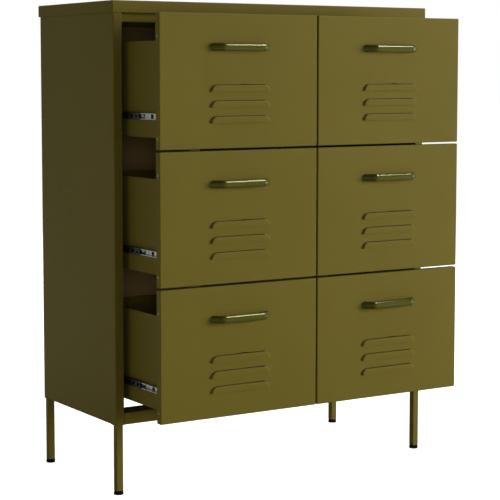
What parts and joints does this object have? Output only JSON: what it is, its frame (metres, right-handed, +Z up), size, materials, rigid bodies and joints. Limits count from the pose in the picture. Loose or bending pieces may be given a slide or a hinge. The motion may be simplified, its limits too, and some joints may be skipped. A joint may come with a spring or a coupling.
{
  "type": "steel drawer cabinet",
  "caption": "Free-standing folded-steel drawer cabinet on slim square legs, with louvred fronts, bow handles and ball slides; the drawers stand part open.",
  "frame": {"origin": "on the floor at the centre of the cabinet's footprint, midway between the four feet", "axes": "+X to the right when facing the drawers, +Y to the rear, +Z up; the drawers pull out towards -Y"},
  "size_m": [0.8, 0.519, 1.015],
  "materials": {
    "paint": "olive powder coat, satin",
    "zinc": "bright zinc plate",
    "black_plastic": "black, matte"
  },
  "bodies": {
    "cabinet": {"lid": "paint", "side_panel_left": "paint", "side_panel_right": "paint", "rear_panel": "paint", "top_rail_front": "paint", "top_rail_rear": "paint", "base_rail_front": "paint", "base_rail_rear": "paint", "centre_divider": "paint", "slide_post_front_left": "paint", "slide_post_front_right": "paint", "slide_post_rear_left": "paint", "slide_post_rear_right": "paint", "leg_front_left": "paint", "leg_front_right": "paint", "leg_rear_left": "paint", "leg_rear_right": "paint", "foot_front_left": "black_plastic", "foot_front_right": "black_plastic", "foot_rear_left": "black_plastic", "foot_rear_right": "black_plastic", "tracks_top_left": "zinc", "tracks_top_right": "zinc", "tracks_middle_left": "zinc", "tracks_middle_right": "zinc", "tracks_bottom_left": "zinc", "tracks_bottom_right": "zinc"},
    "drawer_top_left": {"front_top_left": "paint", "tray_top_left": "paint", "handle_top_left": "paint", "runners_top_left": "zinc"},
    "cage_pair_top_left": {"cages_top_left": "black_plastic"},
    "drawer_top_right": {"front_top_right": "paint", "tray_top_right": "paint", "handle_top_right": "paint", "runners_top_right": "zinc"},
    "cage_pair_top_right": {"cages_top_right": "black_plastic"},
    "drawer_middle_left": {"front_middle_left": "paint", "tray_middle_left": "paint", "handle_middle_left": "paint", "runners_middle_left": "zinc"},
    "cage_pair_middle_left": {"cages_middle_left": "black_plastic"},
    "drawer_middle_right": {"front_middle_right": "paint", "tray_middle_right": "paint", "handle_middle_right": "paint", "runners_middle_right": "zinc"},
    "cage_pair_middle_right": {"cages_middle_right": "black_plastic"},
    "drawer_bottom_left": {"front_bottom_left": "paint", "tray_bottom_left": "paint", "handle_bottom_left": "paint", "runners_bottom_left": "zinc"},
    "cage_pair_bottom_left": {"cages_bottom_left": "black_plastic"},
    "drawer_bottom_right": {"front_bottom_right": "paint", "tray_bottom_right": "paint", "handle_bottom_right": "paint", "runners_bottom_right": "zinc"},
    "cage_pair_bottom_right": {"cages_bottom_right": "black_plastic"}
  },
  "joints": [
    {"name": "drawer_top_left_slide", "type": "slide", "parent": "cabinet", "child": "drawer_top_left", "axis": [0, -1, 0], "range_m": [-0.15, 0.07]},
    {"name": "cage_top_left_slide", "type": "slide", "parent": "cabinet", "child": "cage_pair_top_left", "axis": [0, -1, 0], "range_m": [-0.075, 0.035]},
    {"name": "drawer_top_right_slide", "type": "slide", "parent": "cabinet", "child": "drawer_top_right", "axis": [0, -1, 0], "range_m": [-0.15, 0.07]},
    {"name": "cage_top_right_slide", "type": "slide", "parent": "cabinet", "child": "cage_pair_top_right", "axis": [0, -1, 0], "range_m": [-0.075, 0.035]},
    {"name": "drawer_middle_left_slide", "type": "slide", "parent": "cabinet", "child": "drawer_middle_left", "axis": [0, -1, 0], "range_m": [-0.15, 0.07]},
    {"name": "cage_middle_left_slide", "type": "slide", "parent": "cabinet", "child": "cage_pair_middle_left", "axis": [0, -1, 0], "range_m": [-0.075, 0.035]},
    {"name": "drawer_middle_right_slide", "type": "slide", "parent": "cabinet", "child": "drawer_middle_right", "axis": [0, -1, 0], "range_m": [-0.15, 0.07]},
    {"name": "cage_middle_right_slide", "type": "slide", "parent": "cabinet", "child": "cage_pair_middle_right", "axis": [0, -1, 0], "range_m": [-0.075, 0.035]},
    {"name": "drawer_bottom_left_slide", "type": "slide", "parent": "cabinet", "child": "drawer_bottom_left", "axis": [0, -1, 0], "range_m": [-0.15, 0.07]},
    {"name": "cage_bottom_left_slide", "type": "slide", "parent": "cabinet", "child": "cage_pair_bottom_left", "axis": [0, -1, 0], "range_m": [-0.075, 0.035]},
    {"name": "drawer_bottom_right_slide", "type": "slide", "parent": "cabinet", "child": "drawer_bottom_right", "axis": [0, -1, 0], "range_m": [-0.15, 0.07]},
    {"name": "cage_bottom_right_slide", "type": "slide", "parent": "cabinet", "child": "cage_pair_bottom_right", "axis": [0, -1, 0], "range_m": [-0.075, 0.035]}
  ],
  "couplings": [
    {"joint": "cage_top_left_slide", "follows": "drawer_top_left_slide", "ratio": 0.5},
    {"joint": "cage_top_right_slide", "follows": "drawer_top_right_slide", "ratio": 0.5},
    {"joint": "cage_middle_left_slide", "follows": "drawer_middle_left_slide", "ratio": 0.5},
    {"joint": "cage_middle_right_slide", "follows": "drawer_middle_right_slide", "ratio": 0.5},
    {"joint": "cage_bottom_left_slide", "follows": "drawer_bottom_left_slide", "ratio": 0.5},
    {"joint": "cage_bottom_right_slide", "follows": "drawer_bottom_right_slide", "ratio": 0.5}
  ]
}
